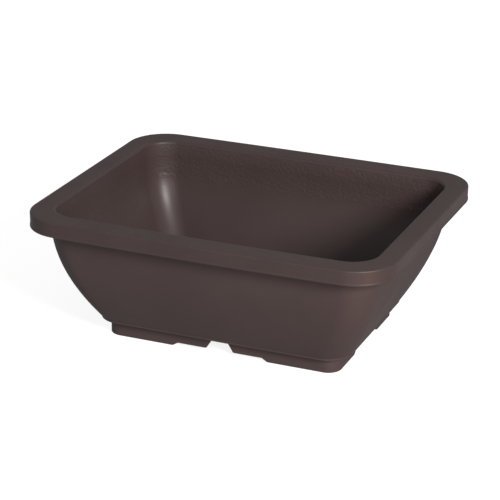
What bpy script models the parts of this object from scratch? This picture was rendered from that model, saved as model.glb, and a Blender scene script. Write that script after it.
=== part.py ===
"""Rectangular bonsai training pot, moulded in plastic, with its drainage screens and their wire clips.

Metres, +Z up. The origin is under the middle of the pot, on the surface that it stands on.
X runs along the pot, and the long side towards -Y is its front.
"""

import math

import bmesh
import bpy

MM = 0.001

# Driving dimensions
LENGTH = 250 * MM
WIDTH = 201 * MM
HEIGHT = 91 * MM
WALL = 2.2 * MM
SIDE_BOW = 0.9 * MM
TOUCH_GAP = 0.3 * MM
CUT_MARGIN = 3 * MM

# Rim: a flat flange with a turned-down skirt, hollow underneath
RIM_CORNER_RADIUS = 28 * MM
SKIRT_HEIGHT = 10.1 * MM
SKIRT_LIP = 0.4 * MM
RIM_EDGE_RADIUS = 1.0 * MM
OPENING_END_INSET = 15.0 * MM
OPENING_SIDE_INSET = 16.5 * MM
OPENING_CORNER_RADIUS = 18 * MM
OPENING_EDGE_RADIUS = 2.4 * MM
EDGE_STEPS = 3

# Wall: how far it stands in from the skirt at its foot and at its top, and its slope there
BAND_BOTTOM = 11.4 * MM
WALL_BOTTOM = 13.0 * MM
WALL_BOTTOM_INSET = 36.4 * MM
WALL_TOP_INSET = 12.0 * MM
WALL_BOTTOM_SLOPE = -0.64
WALL_TOP_SLOPE = -0.05
WALL_BOTTOM_CORNER = 17.0 * MM
WALL_TOP_CORNER = 20.4 * MM
WALL_STEPS = 8
BAND_SETBACK = 0.3 * MM

# Floor
FLOOR_THICKNESS = 2.4 * MM
FLOOR_TOP = BAND_BOTTOM + FLOOR_THICKNESS
FLOOR_FILLET = 14 * MM
FLOOR_FILLET_RISE = 12.6 * MM
FILLET_STEPS = 4
FLOOR_CORNER_RADIUS = 9 * MM
DRAIN_HOLE_RADIUS = 12 * MM
DRAIN_HOLE_SPACING = 84 * MM
TIE_HOLE_RADIUS = 2.5 * MM
TIE_HOLE_X = 62 * MM
TIE_HOLE_Y = 26 * MM

# Feet: one low wall under the floor, cut away between the corners
FOOT_INSET = 43.3 * MM
FOOT_CORNER_RADIUS = 9.5 * MM
FOOT_THICKNESS = 3.0 * MM
FOOT_OVERLAP = 1.0 * MM
NOTCH_DEPTH = 2.3 * MM
NOTCH_HALF_LONG = 29.7 * MM
NOTCH_HALF_SHORT = 19.5 * MM
NOTCH_RAMP_LONG = 3.6 * MM
NOTCH_RAMP_SHORT = 3.0 * MM
GAP_HALF_BOTTOM = 9.7 * MM
GAP_HALF_TOP = 3.9 * MM

# Drainage screens: square plastic netting
SCREEN_APERTURES = 9
SCREEN_PITCH = 4.0 * MM
SCREEN_STRAND = 1.2 * MM
SCREEN_THICKNESS = 1.2 * MM

# Screen clips: one bent wire each, with a loop at both ends and two legs through the hole
CLIP_WIRE = 1.5 * MM
CLIP_LEG_X = 2 * SCREEN_PITCH
CLIP_LOOP_X = 13.5 * MM
CLIP_LOOP_RADIUS = 2.4 * MM
CLIP_FOOT_X = 17.5 * MM
CLIP_BEND_RADIUS = 1.6 * MM

CORNER_STEPS = 6
SIDE_STEPS = 6


def clear_scene():
    for obj in list(bpy.data.objects):
        bpy.data.objects.remove(obj, do_unlink=True)


def new_collection(name):
    collection = bpy.data.collections.new(name)
    bpy.context.scene.collection.children.link(collection)
    return collection


def material(name, colour, roughness, metallic=0.0):
    made = bpy.data.materials.new(name)
    made.use_nodes = True
    shader = made.node_tree.nodes["Principled BSDF"]
    shader.inputs["Base Color"].default_value = (*colour, 1.0)
    shader.inputs["Roughness"].default_value = roughness
    shader.inputs["Metallic"].default_value = metallic
    return made


def object_from_bmesh(mesh_builder, name, collection, finish=None):
    bmesh.ops.recalc_face_normals(mesh_builder, faces=mesh_builder.faces)
    mesh = bpy.data.meshes.new(name)
    mesh_builder.to_mesh(mesh)
    mesh_builder.free()
    mesh.shade_smooth()
    mesh.set_sharp_from_angle(angle=math.radians(30))
    obj = bpy.data.objects.new(name, mesh)
    collection.objects.link(obj)
    if finish is not None:
        mesh.materials.append(finish)
    return obj


def as_cutter(obj):
    obj.hide_render = True
    obj.display_type = "WIRE"
    return obj


def add_boolean(obj, other, operation):
    boolean = obj.modifiers.new(other.name, "BOOLEAN")
    boolean.operation = operation
    boolean.object = other
    boolean.solver = "EXACT"


def ring_points(half_x, half_y, radius, height, bow=0.0):
    """Points of a level rounded rectangle, anticlockwise from its +X side, whose long sides bulge by bow."""
    flat_x = half_x - radius
    flat_y = half_y - radius
    points = []
    for quarter in range(4):
        centre_x = flat_x if quarter in (0, 3) else -flat_x
        centre_y = flat_y if quarter in (0, 1) else -flat_y
        for step in range(CORNER_STEPS + 1):
            angle = math.radians(90 * (quarter + step / CORNER_STEPS))
            x = centre_x + radius * math.cos(angle)
            y = centre_y + radius * math.sin(angle)
            points.append((x, y, height))
        if quarter in (0, 2):
            side = 1 if quarter == 0 else -1
            for step in range(1, SIDE_STEPS):
                along = 1 - 2 * step / SIDE_STEPS
                x = side * flat_x * along
                y = side * (half_y + bow * (1 - along * along))
                points.append((x, y, height))
    return points


def loft(rings, closed=False):
    """A solid through level rings of equal point counts, capped at both ends or closed on itself."""
    builder = bmesh.new()
    loops = [[builder.verts.new(point) for point in ring] for ring in rings]
    pairs = list(zip(loops, loops[1:]))
    if closed:
        pairs.append((loops[-1], loops[0]))
    for lower, upper in pairs:
        count = len(lower)
        for index in range(count):
            after = (index + 1) % count
            builder.faces.new((lower[index], lower[after], upper[after], upper[index]))
    if not closed:
        builder.faces.new(loops[0])
        builder.faces.new(loops[-1])
    return builder


def wall_share(height):
    return (height - WALL_BOTTOM) / (HEIGHT - SKIRT_HEIGHT - WALL_BOTTOM)


def wall_inset(height):
    """Inset of the wall's outer face from the skirt: a cubic with a given slope at each end."""
    t = wall_share(height)
    span = HEIGHT - SKIRT_HEIGHT - WALL_BOTTOM
    start = (2 * t**3 - 3 * t**2 + 1) * WALL_BOTTOM_INSET
    start += (t**3 - 2 * t**2 + t) * span * WALL_BOTTOM_SLOPE
    end = (3 * t**2 - 2 * t**3) * WALL_TOP_INSET
    end += (t**3 - t**2) * span * WALL_TOP_SLOPE
    return start + end


def wall_corner(height):
    t = min(1.0, max(0.0, wall_share(height)))
    return WALL_BOTTOM_CORNER + t * (WALL_TOP_CORNER - WALL_BOTTOM_CORNER)


def bow_at(height):
    """The long sides' bulge, whole at the rim and fading towards the base."""
    return SIDE_BOW * min(1.0, height / (HEIGHT - SKIRT_HEIGHT))


def ring_in_from_skirt(inset, radius, height):
    """A ring a given inset inside the lower edge of the skirt."""
    half_x = LENGTH / 2 - inset
    half_y = WIDTH / 2 - SIDE_BOW - inset
    return ring_points(half_x, half_y, radius, height, bow_at(height))


def outer_wall_rings():
    skirt_bottom = HEIGHT - SKIRT_HEIGHT
    band = WALL_BOTTOM_INSET + BAND_SETBACK
    rings = [
        ring_in_from_skirt(band, WALL_BOTTOM_CORNER - BAND_SETBACK, BAND_BOTTOM),
        ring_in_from_skirt(band, WALL_BOTTOM_CORNER - BAND_SETBACK, WALL_BOTTOM),
    ]
    for step in range(WALL_STEPS + 1):
        height = WALL_BOTTOM + (skirt_bottom - WALL_BOTTOM) * step / WALL_STEPS
        rings.append(ring_in_from_skirt(wall_inset(height), wall_corner(height), height))
    return rings


def rim_rings():
    """From the hollow under the flange, round the skirt and over the flange to the opening's edge."""
    flange_bottom = HEIGHT - WALL
    skirt_bottom = HEIGHT - SKIRT_HEIGHT
    edge = RIM_EDGE_RADIUS
    outline = [
        (WALL_TOP_INSET, WALL_TOP_CORNER, flange_bottom),
        (WALL, RIM_CORNER_RADIUS - WALL, flange_bottom),
        (WALL, RIM_CORNER_RADIUS - WALL, skirt_bottom),
        (SKIRT_LIP, RIM_CORNER_RADIUS - SKIRT_LIP, skirt_bottom),
        (0.0, RIM_CORNER_RADIUS, skirt_bottom + SKIRT_LIP),
    ]
    for step in range(EDGE_STEPS + 1):
        angle = math.radians(90 * step / EDGE_STEPS)
        inset = edge * (1 - math.cos(angle))
        outline.append((inset, RIM_CORNER_RADIUS - inset, HEIGHT - edge * (1 - math.sin(angle))))
    return [ring_in_from_skirt(*place) for place in outline]


def inner_wall_place(height):
    """Half lengths and corner radius of the inner face, which blends into the opening at its top."""
    share = wall_share(height)
    inset = wall_inset(height) + WALL * math.hypot(1, WALL_BOTTOM_SLOPE * (1 - share))
    half_x = LENGTH / 2 - inset
    half_y = WIDTH / 2 - SIDE_BOW - inset
    opening_x = LENGTH / 2 - OPENING_END_INSET
    opening_y = WIDTH / 2 - SIDE_BOW - OPENING_SIDE_INSET
    blend = share**3
    radius = wall_corner(height) - WALL
    return (
        half_x + blend * (opening_x - half_x),
        half_y + blend * (opening_y - half_y),
        radius + blend * (OPENING_CORNER_RADIUS - radius),
    )


def inner_rings():
    """From the flange's flat top over the opening's rounded edge, down the inner wall to the floor."""
    rings = []
    edge = OPENING_EDGE_RADIUS
    half_x = LENGTH / 2 - OPENING_END_INSET
    half_y = WIDTH / 2 - SIDE_BOW - OPENING_SIDE_INSET
    for step in range(EDGE_STEPS + 1):
        angle = math.radians(90 * step / EDGE_STEPS)
        out = edge * (1 - math.sin(angle))
        height = HEIGHT - edge * (1 - math.cos(angle))
        radius = OPENING_CORNER_RADIUS + out
        rings.append(ring_points(half_x + out, half_y + out, radius, height, SIDE_BOW))
    wall_top = HEIGHT - SKIRT_HEIGHT
    fillet_top = FLOOR_TOP + FLOOR_FILLET_RISE
    for step in range(WALL_STEPS + 1):
        height = wall_top + (fillet_top - wall_top) * step / WALL_STEPS
        half_x, half_y, radius = inner_wall_place(height)
        rings.append(ring_points(half_x, half_y, radius, height, bow_at(height)))
    toe = -WALL_BOTTOM_SLOPE * FLOOR_FILLET_RISE
    corner_change = FLOOR_CORNER_RADIUS - radius
    for step in range(1, FILLET_STEPS + 1):
        t = step / FILLET_STEPS
        inset = 2 * t * (1 - t) * toe + t * t * (toe + FLOOR_FILLET)
        height = (1 - t) ** 2 * fillet_top + (1 - (1 - t) ** 2) * FLOOR_TOP
        rings.append(ring_points(half_x - inset, half_y - inset, radius + t * corner_change, height))
    return rings


def extruded_outline(outline, axis, half_depth, name, collection):
    """A prism: an outline of (along, height) points, pushed right through the pot along X or Y."""
    builder = bmesh.new()
    corners = []
    for along, height in outline:
        place = (along, -half_depth, height) if axis == "Y" else (-half_depth, along, height)
        corners.append(builder.verts.new(place))
    face = builder.faces.new(corners)
    pushed = bmesh.ops.extrude_face_region(builder, geom=[face])["geom"]
    travel = (0, 2 * half_depth, 0) if axis == "Y" else (2 * half_depth, 0, 0)
    moved = [item for item in pushed if isinstance(item, bmesh.types.BMVert)]
    bmesh.ops.translate(builder, vec=travel, verts=moved)
    return as_cutter(object_from_bmesh(builder, name, collection))


def mirrored_outline(half):
    return half + [(-along, height) for along, height in reversed(half)]


def make_foot_wall(cutters):
    """The low wall under the floor: shallow notches between the feet, and a gap in each long side."""
    half_x = LENGTH / 2 - FOOT_INSET
    half_y = WIDTH / 2 - SIDE_BOW - FOOT_INSET
    inner_x = half_x - FOOT_THICKNESS
    inner_y = half_y - FOOT_THICKNESS
    inner_radius = FOOT_CORNER_RADIUS - FOOT_THICKNESS
    top = BAND_BOTTOM + FOOT_OVERLAP
    rings = [
        ring_points(half_x, half_y, FOOT_CORNER_RADIUS, 0.0),
        ring_points(half_x, half_y, FOOT_CORNER_RADIUS, top),
        ring_points(inner_x, inner_y, inner_radius, top),
        ring_points(inner_x, inner_y, inner_radius, 0.0),
    ]
    foot_wall = as_cutter(object_from_bmesh(loft(rings, closed=True), "foot_wall", cutters))
    below = -FOOT_OVERLAP
    above = top + FOOT_OVERLAP
    rise = NOTCH_DEPTH - below
    gap_slope = (GAP_HALF_BOTTOM - GAP_HALF_TOP) / (BAND_BOTTOM - NOTCH_DEPTH)
    long_ramp = NOTCH_RAMP_LONG / NOTCH_DEPTH
    short_ramp = NOTCH_RAMP_SHORT / NOTCH_DEPTH
    long_notch = [
        (NOTCH_HALF_LONG + long_ramp * rise, below),
        (NOTCH_HALF_LONG, NOTCH_DEPTH),
        (GAP_HALF_BOTTOM, NOTCH_DEPTH),
        (GAP_HALF_BOTTOM - gap_slope * (above - NOTCH_DEPTH), above),
    ]
    short_notch = [
        (NOTCH_HALF_SHORT + short_ramp * rise, below),
        (NOTCH_HALF_SHORT, NOTCH_DEPTH),
    ]
    for name, axis, half, reach in (
        ("long_side_notch", "Y", long_notch, WIDTH),
        ("short_side_notch", "X", short_notch, LENGTH),
    ):
        notch = extruded_outline(mirrored_outline(half), axis, reach / 2, name, cutters)
        add_boolean(foot_wall, notch, "DIFFERENCE")
    return foot_wall


def make_hole(name, x, y, radius, segments, cutters):
    depth = FLOOR_THICKNESS + 2 * CUT_MARGIN
    builder = bmesh.new()
    bmesh.ops.create_cone(
        builder, cap_ends=True, segments=segments, radius1=radius, radius2=radius, depth=depth
    )
    bmesh.ops.translate(builder, vec=(x, y, (FLOOR_TOP + BAND_BOTTOM) / 2), verts=builder.verts)
    return as_cutter(object_from_bmesh(builder, name, cutters))


def make_pot_shell(parts, cutters):
    plastic = material("brown_black_plastic", (0.052, 0.044, 0.042), 0.45)
    rings = outer_wall_rings() + rim_rings() + inner_rings()
    shell = object_from_bmesh(loft(rings), "pot_shell", parts, plastic)
    add_boolean(shell, make_foot_wall(cutters), "UNION")
    for side in (-1, 1):
        x = side * DRAIN_HOLE_SPACING / 2
        hole = make_hole(f"drain_hole_{side}", x, 0, DRAIN_HOLE_RADIUS, 32, cutters)
        add_boolean(shell, hole, "DIFFERENCE")
        for across in (-1, 1):
            x = side * TIE_HOLE_X
            y = across * TIE_HOLE_Y
            hole = make_hole(f"tie_hole_{side}_{across}", x, y, TIE_HOLE_RADIUS, 16, cutters)
            add_boolean(shell, hole, "DIFFERENCE")
    return shell


def strand_edges():
    """Where the strands' edges lie along one side of a screen, from its middle."""
    half = (SCREEN_APERTURES * SCREEN_PITCH + SCREEN_STRAND) / 2
    edges = []
    for index in range(SCREEN_APERTURES + 1):
        edges.append(index * SCREEN_PITCH - half)
        edges.append(index * SCREEN_PITCH + SCREEN_STRAND - half)
    return edges


def make_screen(name, x, parts, finish):
    edges = strand_edges()
    builder = bmesh.new()
    bmesh.ops.create_grid(builder, x_segments=len(edges) - 1, y_segments=len(edges) - 1, size=1)
    cells = len(edges) - 1
    for vert in builder.verts:
        column = round((vert.co.x + 1) / 2 * cells)
        row = round((vert.co.y + 1) / 2 * cells)
        vert.co = (edges[column], edges[row], 0)
    aperture = SCREEN_PITCH - SCREEN_STRAND
    apertures = []
    for face in builder.faces:
        corners = [vert.co for vert in face.verts]
        widths = [max(co[axis] for co in corners) - min(co[axis] for co in corners) for axis in (0, 1)]
        if min(widths) > (SCREEN_STRAND + aperture) / 2:
            apertures.append(face)
    bmesh.ops.delete(builder, geom=apertures, context="FACES")
    screen = object_from_bmesh(builder, name, parts, finish)
    screen.location = (x, 0, FLOOR_TOP + TOUCH_GAP + SCREEN_THICKNESS / 2)
    solidify = screen.modifiers.new("thickness", "SOLIDIFY")
    solidify.thickness = SCREEN_THICKNESS
    solidify.offset = 0
    return screen


def arc(centre, first, last, radius, plane, steps=4):
    """Points of an arc in the XY or XZ plane; angles in degrees."""
    points = []
    for step in range(steps + 1):
        angle = math.radians(first + (last - first) * step / steps)
        across = radius * math.cos(angle)
        up = radius * math.sin(angle)
        if plane == "XY":
            points.append((centre[0] + across, centre[1] + up, centre[2]))
        else:
            points.append((centre[0] + across, centre[1], centre[2] + up))
    return points


def clip_half():
    """Half a clip's middle line, from the middle of its diagonal to the end of its leg."""
    top = FLOOR_TOP + 2 * TOUCH_GAP + SCREEN_THICKNESS + CLIP_WIRE / 2
    bottom = BAND_BOTTOM - TOUCH_GAP - CLIP_WIRE / 2
    bend = CLIP_BEND_RADIUS
    loop = arc((CLIP_LOOP_X, CLIP_LOOP_RADIUS, top), 90, -90, CLIP_LOOP_RADIUS, "XY", 8)
    knee = arc((CLIP_LEG_X + bend, 0, top - bend), 90, 180, bend, "XZ")
    ankle = arc((CLIP_LEG_X + bend, 0, bottom + bend), 180, 270, bend, "XZ")
    return loop + knee + ankle + [(CLIP_FOOT_X, 0, bottom)]


def make_clip(name, x, parts, finish):
    half = clip_half()
    route = [(-px, -py, pz) for px, py, pz in reversed(half)] + half
    curve = bpy.data.curves.new(name, "CURVE")
    curve.dimensions = "3D"
    curve.bevel_depth = CLIP_WIRE / 2
    curve.bevel_resolution = 2
    curve.use_fill_caps = True
    spline = curve.splines.new("POLY")
    spline.points.add(len(route) - 1)
    for point, place in zip(spline.points, route):
        point.co = (*place, 1.0)
    spline.use_smooth = True
    curve.materials.append(finish)
    clip = bpy.data.objects.new(name, curve)
    clip.location = (x, 0, 0)
    parts.objects.link(clip)
    return clip


def main():
    clear_scene()
    parts = new_collection("bonsai_pot")
    cutters = new_collection("cutters")
    make_pot_shell(parts, cutters)
    netting = material("black_netting", (0.012, 0.012, 0.013), 0.5)
    wire = material("bonsai_wire", (0.36, 0.20, 0.12), 0.35, 1.0)
    for side, word in ((-1, "left"), (1, "right")):
        x = side * DRAIN_HOLE_SPACING / 2
        make_screen(f"drainage_screen_{word}", x, parts, netting)
        make_clip(f"screen_clip_{word}", x, parts, wire)


main()
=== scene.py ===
"""Looks of the rectangular bonsai training pot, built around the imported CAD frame."""

import math
import random

import bmesh
import bpy
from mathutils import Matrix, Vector


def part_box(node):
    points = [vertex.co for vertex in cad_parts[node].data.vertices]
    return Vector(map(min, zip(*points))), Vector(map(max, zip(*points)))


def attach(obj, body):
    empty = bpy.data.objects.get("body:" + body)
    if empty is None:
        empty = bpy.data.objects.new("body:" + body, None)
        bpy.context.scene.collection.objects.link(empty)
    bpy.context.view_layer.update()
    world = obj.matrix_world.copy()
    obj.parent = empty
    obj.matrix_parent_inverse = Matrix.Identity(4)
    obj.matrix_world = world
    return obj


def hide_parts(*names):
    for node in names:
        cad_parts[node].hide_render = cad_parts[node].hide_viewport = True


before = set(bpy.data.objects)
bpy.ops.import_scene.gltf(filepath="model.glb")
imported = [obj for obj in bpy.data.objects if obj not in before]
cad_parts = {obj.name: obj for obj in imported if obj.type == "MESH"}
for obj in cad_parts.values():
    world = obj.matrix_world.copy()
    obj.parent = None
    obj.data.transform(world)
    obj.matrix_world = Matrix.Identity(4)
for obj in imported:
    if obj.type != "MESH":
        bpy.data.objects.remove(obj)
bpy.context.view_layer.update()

MM = 0.001

# ------------------------------------------------------------------ sizes
# The main ones are the CAD model's. The front and back bows, grain, small edges and marks are not.
POT_LOW, POT_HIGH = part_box("pot_shell")
LENGTH = POT_HIGH.x - POT_LOW.x
WIDTH = POT_HIGH.y - POT_LOW.y
HEIGHT = POT_HIGH.z - POT_LOW.z
HALF_X = LENGTH / 2
SIDE_BOW = 0.9 * MM
FRONT_BOW = 1.4 * MM
BACK_BOW = 0.4 * MM
HALF_Y = WIDTH / 2 - SIDE_BOW

WALL = 2.2 * MM
RIM_CORNER = 28 * MM
SKIRT_BOTTOM = HEIGHT - 10.1 * MM
RIM_EDGE = 1.0 * MM
OPENING_END_INSET = 15.0 * MM
OPENING_SIDE_INSET = 16.5 * MM
OPENING_CORNER = 18 * MM
SHOULDER = 2.4 * MM
FLAT_START = 3.0 * MM

BAND_BOTTOM = 11.4 * MM
WALL_BOTTOM = 13.0 * MM
WALL_BOTTOM_INSET = 36.4 * MM
WALL_TOP_INSET = 12.0 * MM
WALL_BOTTOM_SLOPE = -0.64
WALL_TOP_SLOPE = -0.05
WALL_BOTTOM_CORNER = 17.0 * MM
WALL_TOP_CORNER = 20.4 * MM
WALL_START = WALL_BOTTOM + 2 * MM
BAND_INSET = WALL_BOTTOM_INSET + 0.3 * MM

FLOOR_TOP = BAND_BOTTOM + 2.4 * MM
FLOOR_FILLET = 14 * MM
FILLET_RISE = 12.6 * MM
FLOOR_CORNER = 9 * MM
FILLET_TOP = FLOOR_TOP + FILLET_RISE
GRAIN_BOTTOM = HEIGHT - 26.5 * MM
GRAIN_STEP = 0.02 * MM
GRAIN_STEP_HEIGHT = 0.3 * MM

# How far a cutter, or the gate's nub, reaches past the face that it meets
OVERCUT = 1 * MM
DRAIN_HOLE_RADIUS = 12 * MM
DRAIN_HOLE_X = 42 * MM
DRAIN_HOLE_EDGE = 0.5 * MM
TIE_HOLE_RADIUS = 2.5 * MM
TIE_HOLE_X = 62 * MM
TIE_HOLE_Y = 26 * MM
TIE_HOLE_EDGE = 0.35 * MM

EJECTOR_RADIUS = 4 * MM
EJECTOR_DEPTH = 0.15 * MM
EJECTOR_X = 22 * MM
EJECTOR_Y = 1.3 * TIE_HOLE_Y
GATE_DISH_RADIUS = 7.5 * MM
GATE_DISH_TOP_RADIUS = 6.8 * MM
GATE_DISH_DEPTH = 0.5 * MM
GATE_NUB_RADIUS = 1.5 * MM
GATE_NUB_TOP_RADIUS = 1.7 * MM
GATE_NUB_BOTTOM = BAND_BOTTOM + 0.1 * MM

FOOT_INSET = 43.3 * MM
FOOT_CORNER = 9.5 * MM
FOOT_THICKNESS = 3.0 * MM
FOOT_TOP = BAND_BOTTOM + 1.0 * MM
FOOT_EDGE = 0.7 * MM
FOOT_SPACING = 0.8 * MM

# Steps round a quarter turn of a corner, and along each long and short side
CORNER_STEPS = 20
LONG_STEPS = 30
SHORT_STEPS = 20
FOOT_CORNER_STEPS = 12
SHARP_ANGLE = math.radians(40)

# Order of the pot's materials
OUTSIDE, EDGE, GRAINED, INSIDE = range(4)


# ------------------------------------------------------------------ mesh helpers
def ring_points(half_x, half_y, radius, height, bow=0.0):
    """Points of a level rounded rectangle, anticlockwise from its +X side.

    bow is the share of the long sides' full bulge, which is larger at the front than at the back.
    """
    flat_x = half_x - radius
    flat_y = half_y - radius
    points = []
    for quarter in range(4):
        side_x = 1 if quarter in (0, 3) else -1
        side_y = 1 if quarter in (0, 1) else -1
        for step in range(CORNER_STEPS + 1):
            angle = math.radians(90 * (quarter + step / CORNER_STEPS))
            x = side_x * flat_x + radius * math.cos(angle)
            y = side_y * flat_y + radius * math.sin(angle)
            points.append((x, y, height))
        steps = LONG_STEPS if quarter in (0, 2) else SHORT_STEPS
        for step in range(1, steps):
            along = 1 - 2 * step / steps
            if quarter in (0, 2):
                x = side_x * flat_x * along
                bulge = BACK_BOW if side_y > 0 else FRONT_BOW
                y = side_y * (half_y + bow * bulge * (1 - along * along))
            else:
                x = side_x * half_x
                y = side_y * flat_y * along
            points.append((x, y, height))
    return points


def bow_at(height):
    """Share of the full bulge at a height: none at the ground, all of it from the skirt's lower edge up."""
    return min(1.0, height / SKIRT_BOTTOM)


def skirt_ring(inset, corner, height):
    """A ring a given inset inside the outline of the skirt."""
    return ring_points(HALF_X - inset, HALF_Y - inset, corner, height, bow_at(height))


def loft(rings, skins, closed=False):
    """Faces through rings of equal point counts; skins[i] is the material between ring i and the next."""
    builder = bmesh.new()
    loops = [[builder.verts.new(point) for point in ring] for ring in rings]
    pairs = list(zip(loops, loops[1:]))
    if closed:
        pairs.append((loops[-1], loops[0]))
    for (lower, upper), skin in zip(pairs, skins):
        count = len(lower)
        for index in range(count):
            after = (index + 1) % count
            face = builder.faces.new((lower[index], lower[after], upper[after], upper[index]))
            face.material_index = skin
    if not closed:
        builder.faces.new(loops[0]).material_index = skins[0]
        builder.faces.new(loops[-1]).material_index = skins[-1]
    bmesh.ops.recalc_face_normals(builder, faces=builder.faces)
    return builder


def mesh_object(builder, name, materials=()):
    """Turns a finished bmesh into a smooth object in the scene, and frees the bmesh."""
    mesh = bpy.data.meshes.new(name)
    builder.to_mesh(mesh)
    builder.free()
    for finish in materials:
        mesh.materials.append(finish)
    mesh.shade_smooth()
    obj = bpy.data.objects.new(name, mesh)
    bpy.context.scene.collection.objects.link(obj)
    return obj


def apply_modifiers(obj):
    """Replaces the object's mesh with its evaluated one."""
    graph = bpy.context.evaluated_depsgraph_get()
    mesh = bpy.data.meshes.new_from_object(obj.evaluated_get(graph))
    old = obj.data
    obj.modifiers.clear()
    obj.data = mesh
    bpy.data.meshes.remove(old)


def boolean(obj, other, operation):
    """Joins the other object to obj or cuts it from obj, and removes it."""
    cut = obj.modifiers.new(other.name, "BOOLEAN")
    cut.operation = operation
    cut.object = other
    cut.solver = "EXACT"
    apply_modifiers(obj)
    bpy.data.objects.remove(other, do_unlink=True)


def rounded(corners, steps=4):
    """An (inset, height) line through corners of (inset, height, radius), each turned with an arc."""
    line = []
    for index, (inset, height, radius) in enumerate(corners):
        here = Vector((inset, height))
        if radius == 0 or index in (0, len(corners) - 1):
            line.append(here)
            continue
        back = (Vector(corners[index - 1][:2]) - here).normalized()
        ahead = (Vector(corners[index + 1][:2]) - here).normalized()
        half_angle = back.angle(ahead) / 2
        reach = radius / math.tan(half_angle)
        centre = here + (back + ahead).normalized() * (radius / math.sin(half_angle))
        first = here + back * reach - centre
        last = here + ahead * reach - centre
        turn = first.angle_signed(last)
        for step in range(steps + 1):
            angle = -turn * step / steps
            cos = math.cos(angle)
            sin = math.sin(angle)
            turned_x = first.x * cos - first.y * sin
            turned_y = first.x * sin + first.y * cos
            line.append(centre + Vector((turned_x, turned_y)))
    return line


# ------------------------------------------------------------------ the pot's section
def wall_share(height):
    """0 at the wall's foot and 1 at the skirt's lower edge."""
    return (height - WALL_BOTTOM) / (SKIRT_BOTTOM - WALL_BOTTOM)


def wall_inset(height):
    """Inset of the wall's outer face: a cubic with a given slope at each end."""
    t = wall_share(height)
    span = SKIRT_BOTTOM - WALL_BOTTOM
    start = (2 * t**3 - 3 * t**2 + 1) * WALL_BOTTOM_INSET
    start += (t**3 - 2 * t**2 + t) * span * WALL_BOTTOM_SLOPE
    end = (3 * t**2 - 2 * t**3) * WALL_TOP_INSET
    end += (t**3 - t**2) * span * WALL_TOP_SLOPE
    return start + end


def wall_corner(height):
    """Corner radius of the wall's outer face."""
    t = min(1.0, max(0.0, wall_share(height)))
    return WALL_BOTTOM_CORNER + t * (WALL_TOP_CORNER - WALL_BOTTOM_CORNER)


def inner_place(height):
    """Half lengths and corner radius of the inner face, which blends into the opening at its top."""
    share = wall_share(height)
    inset = wall_inset(height) + WALL * math.hypot(1, WALL_BOTTOM_SLOPE * (1 - share))
    blend = share**3
    opening_x = HALF_X - OPENING_END_INSET
    opening_y = HALF_Y - OPENING_SIDE_INSET
    radius = wall_corner(height) - WALL
    return (
        HALF_X - inset + blend * (opening_x - HALF_X + inset),
        HALF_Y - inset + blend * (opening_y - HALF_Y + inset),
        radius + blend * (OPENING_CORNER - radius),
    )


def outer_rings():
    """Underside of the floor, the base band and the wall, up to the hollow under the rim."""
    rings = []
    skins = []
    underside_inset = BAND_INSET + 6 * MM
    band_top = WALL_BOTTOM - 0.1 * MM
    band_edge = 0.45 * MM
    step_edge = 0.12 * MM
    base = rounded([
        (underside_inset, BAND_BOTTOM, 0),
        (BAND_INSET, BAND_BOTTOM, band_edge),
        (BAND_INSET, band_top, step_edge),
        (WALL_BOTTOM_INSET, WALL_BOTTOM, step_edge),
        (wall_inset(WALL_START), WALL_START, 0),
    ])
    for place in base[:-1]:
        corner = WALL_BOTTOM_CORNER + WALL_BOTTOM_INSET - place.x
        rings.append(skirt_ring(place.x, corner, place.y))
        skins.append(OUTSIDE)
    steps = 40
    for step in range(steps + 1):
        height = WALL_START + (SKIRT_BOTTOM - WALL_START) * step / steps
        rings.append(skirt_ring(wall_inset(height), wall_corner(height), height))
        skins.append(OUTSIDE)
    return rings, skins


def rim_rings():
    """Up the wall in the hollow under the rim, down and round the skirt, and onto the rim's flat top."""
    flange_bottom = HEIGHT - WALL
    hollow_start = SKIRT_BOTTOM + 1 * MM
    lip_top = SKIRT_BOTTOM + 1.1 * MM
    face_bottom = SKIRT_BOTTOM + 1.4 * MM
    face_inset = 0.3 * MM
    face_top_inset = 0.15 * MM
    line = rounded([
        (WALL_TOP_INSET, hollow_start, 0),
        (WALL_TOP_INSET, flange_bottom, 1.2 * MM),
        (WALL, flange_bottom, 1.0 * MM),
        (WALL, SKIRT_BOTTOM, 0.6 * MM),
        (0.0, SKIRT_BOTTOM, 0.5 * MM),
        (0.0, lip_top, 0.25 * MM),
        (face_inset, face_bottom, 0.4 * MM),
        (face_top_inset, HEIGHT, RIM_EDGE),
        (FLAT_START, HEIGHT, 0),
    ], steps=6)
    # Farther in than this, rings follow the wall's corners, and nearer the skirt they follow the rim's
    hollow_middle = 6 * MM
    flat_top = HEIGHT - 0.01 * MM
    rings = []
    skins = []
    for place in line:
        corner = RIM_CORNER - place.x
        if place.x > hollow_middle:
            corner = WALL_TOP_CORNER + WALL_TOP_INSET - place.x
        rings.append(skirt_ring(place.x, corner, place.y))
        on_skirt = place.x < WALL / 2 and place.y < flat_top
        skins.append(EDGE if on_skirt else OUTSIDE)
    return rings, skins


def shoulder_rings():
    """The rounded edge from the rim's flat top down into the opening."""
    rings = []
    skins = []
    steps = 10
    for step in range(steps + 1):
        angle = math.radians(90 * step / steps)
        out = SHOULDER * (1 - math.sin(angle))
        height = HEIGHT - SHOULDER * (1 - math.cos(angle))
        half_x = HALF_X - OPENING_END_INSET + out
        half_y = HALF_Y - OPENING_SIDE_INSET + out
        rings.append(ring_points(half_x, half_y, OPENING_CORNER + out, height, 1.0))
        skins.append(EDGE)
    skins[-1] = GRAINED
    return rings, skins


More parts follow.
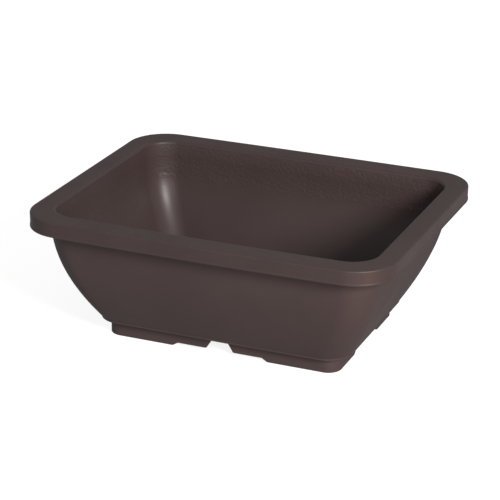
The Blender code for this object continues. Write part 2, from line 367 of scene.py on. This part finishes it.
def inner_rings():
    """The inner wall, grained above a small step and smooth below it, and its fillet into the floor."""
    rings = []
    skins = []
    smooth_top = GRAIN_BOTTOM - GRAIN_STEP_HEIGHT
    for top, bottom, outward, skin, steps in (
        (SKIRT_BOTTOM, GRAIN_BOTTOM, 0.0, GRAINED, 16),
        (smooth_top, FILLET_TOP, GRAIN_STEP, INSIDE, 24),
    ):
        for step in range(steps + 1):
            height = top + (bottom - top) * step / steps
            half_x, half_y, corner = inner_place(height)
            ring = (half_x + outward, half_y + outward, corner + outward, height, bow_at(height))
            rings.append(ring_points(*ring))
            skins.append(skin)
        skins[-1] = INSIDE
    half_x, half_y, corner = inner_place(FILLET_TOP)
    toe = -WALL_BOTTOM_SLOPE * FILLET_RISE
    steps = 14
    for step in range(1, steps + 1):
        t = step / steps
        inset = 2 * t * (1 - t) * toe + t * t * (toe + FLOOR_FILLET) - GRAIN_STEP
        height = (1 - t) ** 2 * FILLET_TOP + (1 - (1 - t) ** 2) * FLOOR_TOP
        radius = corner + t * (FLOOR_CORNER - corner)
        bow = (1 - t) * bow_at(FILLET_TOP)
        rings.append(ring_points(half_x - inset, half_y - inset, radius, height, bow))
        skins.append(INSIDE)
    flat_margin = 2 * MM
    inset += flat_margin
    rings.append(ring_points(half_x - inset, half_y - inset, FLOOR_CORNER - flat_margin / 2, FLOOR_TOP))
    skins.append(INSIDE)
    return rings, skins


# ------------------------------------------------------------------ feet
# Lower edge of the foot wall as (distance from the side's middle, height) in millimetres. A long side
# has a gap in the middle, then a notch and a foot, and a short side has a notch and a foot.
LONG_FOOT_LINE = (
    (0, 11.9), (3.6, 11.9), (9.7, 2.3), (29.9, 2.3), (33.5, 0.0), (90, 0.0),
)
SHORT_FOOT_LINE = ((0, 2.3), (19.5, 2.3), (22.5, 0.0), (90, 0.0))


def line_height(line, along):
    """Height of a line of (distance, height) points in millimetres, at a distance from the middle."""
    along = abs(along) / MM
    for (x0, z0), (x1, z1) in zip(line, line[1:]):
        if along <= x1:
            return (z0 + (z1 - z0) * (along - x0) / (x1 - x0)) * MM
    return line[-1][1] * MM


def foot_height(x, y, half_x, half_y):
    """How high the foot wall's lower edge is above the ground at a point of its run."""
    on_long_side = abs(x) < half_x - FOOT_CORNER and abs(y) > half_y - FOOT_CORNER
    on_short_side = abs(y) < half_y - FOOT_CORNER and abs(x) > half_x - FOOT_CORNER
    if on_long_side:
        return line_height(LONG_FOOT_LINE, x)
    if on_short_side:
        return line_height(SHORT_FOOT_LINE, y)
    return 0.0


def foot_run(half_x, half_y, corner):
    """Points round a rounded rectangle, close enough to follow the notches."""
    flat_x = half_x - corner
    flat_y = half_y - corner
    run = []
    for quarter in range(4):
        side_x = 1 if quarter in (0, 3) else -1
        side_y = 1 if quarter in (0, 1) else -1
        for step in range(FOOT_CORNER_STEPS + 1):
            angle = math.radians(90 * (quarter + step / FOOT_CORNER_STEPS))
            x = side_x * flat_x + corner * math.cos(angle)
            y = side_y * flat_y + corner * math.sin(angle)
            run.append((x, y))
        flat = flat_x if quarter in (0, 2) else flat_y
        steps = round(2 * flat / FOOT_SPACING)
        for step in range(1, steps):
            along = 1 - 2 * step / steps
            if quarter in (0, 2):
                run.append((side_x * flat_x * along, side_y * half_y))
            else:
                run.append((side_x * half_x, side_y * flat_y * along))
    return run


def make_foot_wall():
    """The low wall under the floor, its lower edge rounded and stepped up between the feet."""
    half_x = HALF_X - FOOT_INSET
    half_y = HALF_Y - FOOT_INSET
    highest = FOOT_TOP - 0.2 * MM
    # (inset, height above the lower edge), where None stands for the wall's top
    section = [(0.0, None), (0.0, FOOT_EDGE)]
    steps = 4
    for step in range(1, steps + 1):
        angle = math.radians(90 * step / steps)
        section.append((FOOT_EDGE * (1 - math.cos(angle)), FOOT_EDGE * (1 - math.sin(angle))))
    section += [(FOOT_THICKNESS - inset, height) for inset, height in reversed(section)]
    run = foot_run(half_x, half_y, FOOT_CORNER)
    rings = []
    for inset, height in section:
        ring = []
        shrink = foot_run(half_x - inset, half_y - inset, FOOT_CORNER - inset)
        if len(shrink) != len(run):
            raise ValueError("the foot wall's runs differ in length")
        for (x, y), (outer_x, outer_y) in zip(shrink, run):
            low = foot_height(outer_x, outer_y, half_x, half_y)
            ring.append((x, y, FOOT_TOP if height is None else min(low + height, highest)))
        rings.append(ring)
    return mesh_object(loft(rings, [OUTSIDE] * len(rings), closed=True), "foot_wall")


# ------------------------------------------------------------------ holes and moulding marks
def turned(name, x, y, outline, segments):
    """A closed turned solid about an upright axis, from (radius, height) points, bottom to top."""
    builder = bmesh.new()
    loops = []
    for radius, height in outline:
        loop = []
        for step in range(segments):
            angle = 2 * math.pi * step / segments
            place = (x + radius * math.cos(angle), y + radius * math.sin(angle), height)
            loop.append(builder.verts.new(place))
        loops.append(loop)
    for lower, upper in zip(loops, loops[1:]):
        for index in range(segments):
            after = (index + 1) % segments
            builder.faces.new((lower[index], lower[after], upper[after], upper[index]))
    builder.faces.new(loops[0])
    builder.faces.new(loops[-1])
    bmesh.ops.recalc_face_normals(builder, faces=builder.faces)
    return mesh_object(builder, name)


def hole_cutter(name, x, y, radius, edge, segments):
    """A hole through the floor with a rounded edge at both faces."""
    outline = [(radius + edge, BAND_BOTTOM - OVERCUT), (radius + edge, BAND_BOTTOM)]
    steps = 5
    for step in range(1, steps + 1):
        angle = math.radians(90 * step / steps)
        out = edge * (1 - math.sin(angle))
        up = edge * (1 - math.cos(angle))
        outline.append((radius + out, BAND_BOTTOM + up))
    for step in range(steps):
        angle = math.radians(90 * step / steps)
        out = edge * (1 - math.cos(angle))
        down = edge * (1 - math.sin(angle))
        outline.append((radius + out, FLOOR_TOP - down))
    outline += [(radius + edge, FLOOR_TOP), (radius + edge, FLOOR_TOP + OVERCUT)]
    return turned(name, x, y, outline, segments)


def cut_floor(pot):
    """The drainage and tie-wire holes, the ejector marks under the floor, and the gate's dish and nub."""
    below = BAND_BOTTOM - OVERCUT
    mark = [(EJECTOR_RADIUS, below), (EJECTOR_RADIUS, BAND_BOTTOM + EJECTOR_DEPTH)]
    for side in (-1, 1):
        x = side * DRAIN_HOLE_X
        boolean(pot, hole_cutter("drain_hole", x, 0, DRAIN_HOLE_RADIUS, DRAIN_HOLE_EDGE, 64), "DIFFERENCE")
        for across in (-1, 1):
            x = side * TIE_HOLE_X
            y = across * TIE_HOLE_Y
            boolean(pot, hole_cutter("tie_hole", x, y, TIE_HOLE_RADIUS, TIE_HOLE_EDGE, 32), "DIFFERENCE")
            x = side * EJECTOR_X
            y = across * EJECTOR_Y
            boolean(pot, turned("ejector_mark", x, y, mark, 40), "DIFFERENCE")
    dish = [
        (GATE_DISH_RADIUS, below),
        (GATE_DISH_RADIUS, BAND_BOTTOM),
        (GATE_DISH_TOP_RADIUS, BAND_BOTTOM + GATE_DISH_DEPTH),
    ]
    boolean(pot, turned("gate_dish", 0, 0, dish, 48), "DIFFERENCE")
    nub = [(GATE_NUB_RADIUS, GATE_NUB_BOTTOM), (GATE_NUB_TOP_RADIUS, BAND_BOTTOM + OVERCUT)]
    boolean(pot, turned("gate_nub", 0, 0, nub, 24), "UNION")


def make_pot(materials):
    """The moulding as one closed skin, with its feet joined on and its floor cut."""
    rings = []
    skins = []
    for part in (outer_rings, rim_rings, shoulder_rings, inner_rings):
        more_rings, more_skins = part()
        rings += more_rings
        skins += more_skins
    pot = mesh_object(loft(rings, skins[:-1]), "pot", materials)
    boolean(pot, make_foot_wall(), "UNION")
    cut_floor(pot)
    pot.data.shade_smooth()
    pot.data.set_sharp_from_angle(angle=SHARP_ANGLE)
    return pot


# ------------------------------------------------------------------ screens and clips
def make_screen(name, node, finish, seed):
    """Square plastic netting cut from a roll, with the cut ends of its strands round its edge."""
    low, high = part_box(node)
    strand = high.z - low.z
    stub = 1.2 * MM
    apertures = 9
    pitch = (high.x - low.x - strand) / apertures
    centre = (low + high) / 2
    half_side = (high.x - low.x) / 2
    shuffle = random.Random(seed)
    edges = [-stub - half_side]
    for index in range(apertures + 1):
        start = index * pitch - half_side
        edges += [start, start + strand]
    edges.append(-edges[0])
    last = len(edges) - 1
    builder = bmesh.new()
    grid = [[builder.verts.new((x, y, 0)) for x in edges] for y in edges]
    stubs = []
    for row in range(last):
        for column in range(last):
            on_row_strand = row % 2 == 1
            on_column_strand = column % 2 == 1
            if not (on_row_strand or on_column_strand):
                continue
            near, far = grid[row], grid[row + 1]
            builder.faces.new((near[column], near[column + 1], far[column + 1], far[column]))
            if row in (0, last - 1) or column in (0, last - 1):
                stubs.append((row, column))
    for row, column in stubs:
        cut = shuffle.uniform(0.1, 1.0) * MM
        if row == 0:
            ends = (grid[0][column], grid[0][column + 1])
            move = Vector((0, cut, 0))
        elif row == last - 1:
            ends = (grid[last][column], grid[last][column + 1])
            move = Vector((0, -cut, 0))
        elif column == 0:
            ends = (grid[row][0], grid[row + 1][0])
            move = Vector((cut, 0, 0))
        else:
            ends = (grid[row][last], grid[row + 1][last])
            move = Vector((-cut, 0, 0))
        for vert in ends:
            vert.co += move
    loose = [vert for vert in builder.verts if not vert.link_faces]
    bmesh.ops.delete(builder, geom=loose, context="VERTS")
    screen = mesh_object(builder, name, [finish])
    for vert in screen.data.vertices:
        vert.co += centre
    thick = screen.modifiers.new("thickness", "SOLIDIFY")
    thick.thickness = strand
    thick.offset = 0
    bevel = screen.modifiers.new("round", "BEVEL")
    bevel.width = 0.32 * MM
    bevel.segments = 3
    bevel.limit_method = "ANGLE"
    apply_modifiers(screen)
    screen.data.shade_smooth()
    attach(screen, "root")
    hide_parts(node)
    return screen


def arc(centre, first, last, radius, plane, steps):
    """Points of an arc between two angles in degrees, in the XY or the XZ plane."""
    points = []
    for step in range(steps + 1):
        angle = math.radians(first + (last - first) * step / steps)
        across = radius * math.cos(angle)
        up = radius * math.sin(angle)
        if plane == "XY":
            points.append(Vector((centre[0] + across, centre[1] + up, centre[2])))
        else:
            points.append(Vector((centre[0] + across, centre[1], centre[2] + up)))
    return points


def make_clip(name, node, finish):
    """One bent wire: a loop at each end on top of the screen, and two legs folded out under the floor."""
    low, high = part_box(node)
    wire = 1.5 * MM
    loop_x = 13.5 * MM
    middle_x = (low.x + high.x) / 2
    top = high.z - wire / 2
    bottom = low.z + wire / 2
    leg_x = 8 * MM
    bend = 1.6 * MM
    loop = 2.4 * MM
    half = arc((loop_x, loop, top), 90, -90, loop, "XY", 16)
    half += arc((leg_x + bend, 0, top - bend), 90, 180, bend, "XZ", 8)
    half += arc((leg_x + bend, 0, bottom + bend), 180, 270, bend, "XZ", 8)
    half.append(Vector((high.x - middle_x, 0, bottom)))
    route = [Vector((-point.x, -point.y, point.z)) for point in reversed(half)] + half
    curve = bpy.data.curves.new(name, "CURVE")
    curve.dimensions = "3D"
    curve.bevel_depth = wire / 2
    curve.bevel_resolution = 6
    curve.use_fill_caps = True
    spline = curve.splines.new("POLY")
    spline.points.add(len(route) - 1)
    for point, place in zip(spline.points, route):
        point.co = (place.x + middle_x, place.y, place.z, 1.0)
    spline.use_smooth = True
    curve.materials.append(finish)
    clip = bpy.data.objects.new(name, curve)
    bpy.context.scene.collection.objects.link(clip)
    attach(clip, "root")
    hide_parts(node)
    return clip


# ------------------------------------------------------------------ materials
class Finish:
    """A Principled material, with short ways to add the nodes that these finishes share."""

    def __init__(self, name):
        self.material = bpy.data.materials.new(name)
        self.material.use_nodes = True
        self.tree = self.material.node_tree
        self.shader = self.tree.nodes["Principled BSDF"]
        self.place = self.add("ShaderNodeTexCoord").outputs["Object"]

    def add(self, kind, **settings):
        node = self.tree.nodes.new(kind)
        for key, value in settings.items():
            setattr(node, key, value)
        return node

    def link(self, source, target):
        self.tree.links.new(source, target)

    def set(self, **values):
        for key, value in values.items():
            self.shader.inputs[key.replace("_", " ")].default_value = value

    def noise(self, scale, detail=3.0, rough=0.55, stretch=None):
        source = self.place
        if stretch is not None:
            mapping = self.add("ShaderNodeMapping")
            mapping.inputs["Scale"].default_value = stretch
            self.link(source, mapping.inputs["Vector"])
            source = mapping.outputs["Vector"]
        node = self.add("ShaderNodeTexNoise")
        node.inputs["Scale"].default_value = scale
        node.inputs["Detail"].default_value = detail
        node.inputs["Roughness"].default_value = rough
        self.link(source, node.inputs["Vector"])
        return node.outputs["Fac"]

    def spread(self, source, low, high, start=0.3, end=0.7):
        """Maps a texture's middle range onto low to high."""
        node = self.add("ShaderNodeMapRange")
        for key, value in (("From Min", start), ("From Max", end), ("To Min", low), ("To Max", high)):
            node.inputs[key].default_value = value
        self.link(source, node.inputs["Value"])
        return node.outputs["Result"]

    def blend(self, factor, first, second):
        node = self.add("ShaderNodeMix", data_type="RGBA")
        self.link(factor, node.inputs[0])
        for socket, value in ((node.inputs[6], first), (node.inputs[7], second)):
            if isinstance(value, tuple):
                socket.default_value = (*value, 1.0)
            else:
                self.link(value, socket)
        return node.outputs[2]

    def bump(self, source, distance, strength=1.0, under=None):
        node = self.add("ShaderNodeBump")
        node.inputs["Distance"].default_value = distance
        node.inputs["Strength"].default_value = strength
        self.link(source, node.inputs["Height"])
        if under is not None:
            self.link(under, node.inputs["Normal"])
        return node.outputs["Normal"]


PLASTIC_DARK = (0.0375, 0.0247, 0.0240)
PLASTIC_LIGHT = (0.0445, 0.0300, 0.0290)
PLASTIC_WORN = (0.080, 0.060, 0.055)


def plastic(name, roughness, grain_scale, grain_height, painted_shading=1.0, specular=0.30, wear=0.0):
    """Brown-black moulded plastic: cloudy colour, patchy gloss, a grained skin, with wear rubs, and a
    colour scale painting shade below 1, light above 1.
    """
    finish = Finish(name)
    clouds = finish.spread(finish.noise(scale=14, detail=4.0), low=0.0, high=1.0)
    # Painted light and shade: the colour is scaled darker than the plastic's own for painted shade, lighter
    # for painted light
    dark = tuple(painted_shading * channel for channel in PLASTIC_DARK)
    light = tuple(painted_shading * channel for channel in PLASTIC_LIGHT)
    colour = finish.blend(clouds, dark, light)
    if wear:
        rubs = finish.noise(scale=160, detail=6.0, rough=0.7, stretch=(1.0, 1.0, 3.0))
        rubbed = finish.spread(rubs, low=0.0, high=wear, start=0.52, end=0.72)
        colour = finish.blend(rubbed, colour, PLASTIC_WORN)
    finish.link(colour, finish.shader.inputs["Base Color"])
    gloss = finish.spread(finish.noise(scale=35, detail=5.0, rough=0.6), *roughness)
    finish.link(gloss, finish.shader.inputs["Roughness"])
    grain = finish.noise(scale=grain_scale, detail=3.0, rough=0.6)
    skin = finish.bump(grain, distance=grain_height, strength=0.8)
    waves = finish.noise(scale=22, detail=1.0)
    ripple = finish.bump(waves, distance=0.25 * MM, strength=0.35, under=skin)
    finish.link(ripple, finish.shader.inputs["Normal"])
    finish.set(IOR=1.49)
    finish.shader.inputs["Specular IOR Level"].default_value = specular
    return finish.material


def netting():
    finish = Finish("black_netting")
    tone = finish.spread(finish.noise(scale=250, detail=4.0), low=0.0, high=1.0)
    colour = finish.blend(tone, (0.006, 0.006, 0.007), (0.014, 0.014, 0.015))
    finish.link(colour, finish.shader.inputs["Base Color"])
    gloss = finish.spread(finish.noise(scale=500), low=0.38, high=0.55)
    finish.link(gloss, finish.shader.inputs["Roughness"])
    skin = finish.bump(finish.noise(scale=900, detail=4.0), distance=0.06 * MM)
    finish.link(skin, finish.shader.inputs["Normal"])
    return finish.material


def anodised_wire():
    finish = Finish("brown_anodised_wire")
    tone = finish.spread(finish.noise(scale=300, detail=5.0), low=0.0, high=1.0)
    colour = finish.blend(tone, (0.27, 0.14, 0.08), (0.42, 0.25, 0.16))
    finish.link(colour, finish.shader.inputs["Base Color"])
    gloss = finish.spread(finish.noise(scale=700, detail=4.0), low=0.25, high=0.45)
    finish.link(gloss, finish.shader.inputs["Roughness"])
    skin = finish.bump(finish.noise(scale=1500, detail=3.0), distance=0.03 * MM)
    finish.link(skin, finish.shader.inputs["Normal"])
    finish.set(Metallic=1.0)
    return finish.material


# ------------------------------------------------------------------ studio
WHITE = (1.0, 1.0, 1.0, 1.0)

# Camera, with distances as multiples of the pot's half length
CAMERA_AZIMUTH = 22.33
CAMERA_ELEVATION = 21.48
CAMERA_ROLL = 0.64
CAMERA_DISTANCE = 10.681
CAMERA_TARGET_HEIGHT = 0.4544
CAMERA_SHIFT_RIGHT = -0.0165
CAMERA_SHIFT_UP = -0.0305
CAMERA_LENS = 144.14
SENSOR_WIDTH = 36


def make_floor():
    """A pale floor that glows slightly and isn't seen in reflections or by bounced light."""
    builder = bmesh.new()
    bmesh.ops.create_grid(builder, x_segments=1, y_segments=1, size=6.0)
    finish = Finish("studio_floor")
    tone = finish.spread(finish.noise(scale=1.5, detail=2.0), low=0.0, high=1.0)
    colour = finish.blend(tone, (0.30, 0.30, 0.30), (0.31, 0.31, 0.31))
    finish.link(colour, finish.shader.inputs["Base Color"])
    finish.set(Roughness=0.9)
    finish.shader.inputs["Specular IOR Level"].default_value = 0.0
    finish.shader.inputs["Emission Color"].default_value = WHITE
    finish.shader.inputs["Emission Strength"].default_value = 0.84
    floor = mesh_object(builder, "studio_floor", [finish.material])
    floor.visible_diffuse = False
    floor.visible_glossy = False


def from_direction(azimuth, elevation):
    """Unit vector towards a direction: azimuth 0 is -Y, turning towards +X."""
    turn = math.radians(azimuth)
    rise = math.radians(elevation)
    return Vector((math.sin(turn) * math.cos(rise), -math.cos(turn) * math.cos(rise), math.sin(rise)))


def softbox(name, azimuth, elevation, distance, width, height, power, colour):
    """An area light aimed at the middle of the pot, and hidden from the camera."""
    light = bpy.data.lights.new(name, "AREA")
    light.shape = "RECTANGLE"
    light.size = width
    light.size_y = height
    light.energy = power
    light.color = colour
    lamp = bpy.data.objects.new(name, light)
    target = Vector((0, 0, HEIGHT / 2))
    lamp.location = target + from_direction(azimuth, elevation) * distance
    lamp.rotation_euler = (lamp.location - target).to_track_quat("Z", "Y").to_euler()
    lamp.visible_camera = False
    bpy.context.scene.collection.objects.link(lamp)


def make_lights():
    """A key light from the right, a weak front one, a small warm one low down, and a white world."""
    softbox(
        "key_softbox", azimuth=52, elevation=25.5, distance=2.0,
        width=0.45, height=0.50, power=56, colour=(1.0, 0.97, 0.955),
    )
    softbox(
        "front_softbox", azimuth=15, elevation=12, distance=2.0,
        width=1.0, height=0.7, power=15, colour=(1.0, 0.98, 0.96),
    )
    softbox(
        "warm_card", azimuth=52, elevation=-6.5, distance=0.32,
        width=0.06, height=0.03, power=0.08, colour=(1.0, 0.32, 0.12),
    )
    world = bpy.data.worlds.new("studio")
    world.use_nodes = True
    nodes = world.node_tree.nodes
    links = world.node_tree.links
    # The world lights the pot at less than the full white that the camera sees behind it
    ambient = nodes["Background"]
    ambient.inputs["Color"].default_value = WHITE
    ambient.inputs["Strength"].default_value = 0.45
    backdrop = nodes.new("ShaderNodeBackground")
    backdrop.inputs["Color"].default_value = WHITE
    backdrop.inputs["Strength"].default_value = 1.0
    ray = nodes.new("ShaderNodeLightPath")
    mix = nodes.new("ShaderNodeMixShader")
    links.new(ray.outputs["Is Camera Ray"], mix.inputs["Fac"])
    links.new(ambient.outputs["Background"], mix.inputs[1])
    links.new(backdrop.outputs["Background"], mix.inputs[2])
    links.new(mix.outputs["Shader"], nodes["World Output"].inputs["Surface"])
    bpy.context.scene.world = world
    bpy.context.scene.view_settings.view_transform = "Standard"


def make_camera():
    """A long lens in front of the pot's right half, looking down at it, with a slight roll."""
    target = Vector((0, 0, CAMERA_TARGET_HEIGHT * HALF_X))
    back = from_direction(CAMERA_AZIMUTH, CAMERA_ELEVATION)
    turn = math.radians(CAMERA_AZIMUTH)
    right = Vector((math.cos(turn), math.sin(turn), 0))
    up = back.cross(right)
    tilt = math.radians(CAMERA_ROLL)
    rolled_right = math.cos(tilt) * right + math.sin(tilt) * up
    rolled_up = math.cos(tilt) * up - math.sin(tilt) * right
    camera = bpy.data.cameras.new("camera")
    camera.lens = CAMERA_LENS
    camera.sensor_width = SENSOR_WIDTH
    camera.clip_start = 0.05
    eye = bpy.data.objects.new("camera", camera)
    place = target + back * (CAMERA_DISTANCE * HALF_X)
    place += (CAMERA_SHIFT_RIGHT * rolled_right + CAMERA_SHIFT_UP * rolled_up) * HALF_X
    matrix = eye.matrix_world.copy()
    for row in range(3):
        matrix[row][0] = rolled_right[row]
        matrix[row][1] = rolled_up[row]
        matrix[row][2] = back[row]
        matrix[row][3] = place[row]
    eye.matrix_world = matrix
    bpy.context.scene.collection.objects.link(eye)
    bpy.context.scene.camera = eye


# ------------------------------------------------------------------ build
make_camera()
make_lights()
make_floor()

outside = plastic(
    "plastic_outside", roughness=(0.60, 0.70), grain_scale=1400, grain_height=0.04 * MM, specular=0.29,
)
# The edge copy, on the skirt and the rounded edge into the opening, is painted darker: painted shade
edge = plastic(
    "plastic_edge", roughness=(0.42, 0.52), grain_scale=1400, grain_height=0.04 * MM,
    painted_shading=0.84, specular=0.28, wear=0.08,
)
# The grained and inside copies are painted lighter: painted light inside the pot
grained = plastic(
    "plastic_grained", roughness=(0.34, 0.46), grain_scale=430, grain_height=0.55 * MM, painted_shading=1.04,
)
inside = plastic(
    "plastic_inside", roughness=(0.37, 0.45), grain_scale=1400, grain_height=0.03 * MM, painted_shading=1.04,
)
pot = make_pot([outside, edge, grained, inside])
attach(pot, "root")
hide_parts("pot_shell")

net = netting()
wire = anodised_wire()
for seed, side in enumerate(("left", "right")):
    make_screen(f"screen_{side}", f"drainage_screen_{side}", net, seed)
    make_clip(f"clip_{side}", f"screen_clip_{side}", wire)
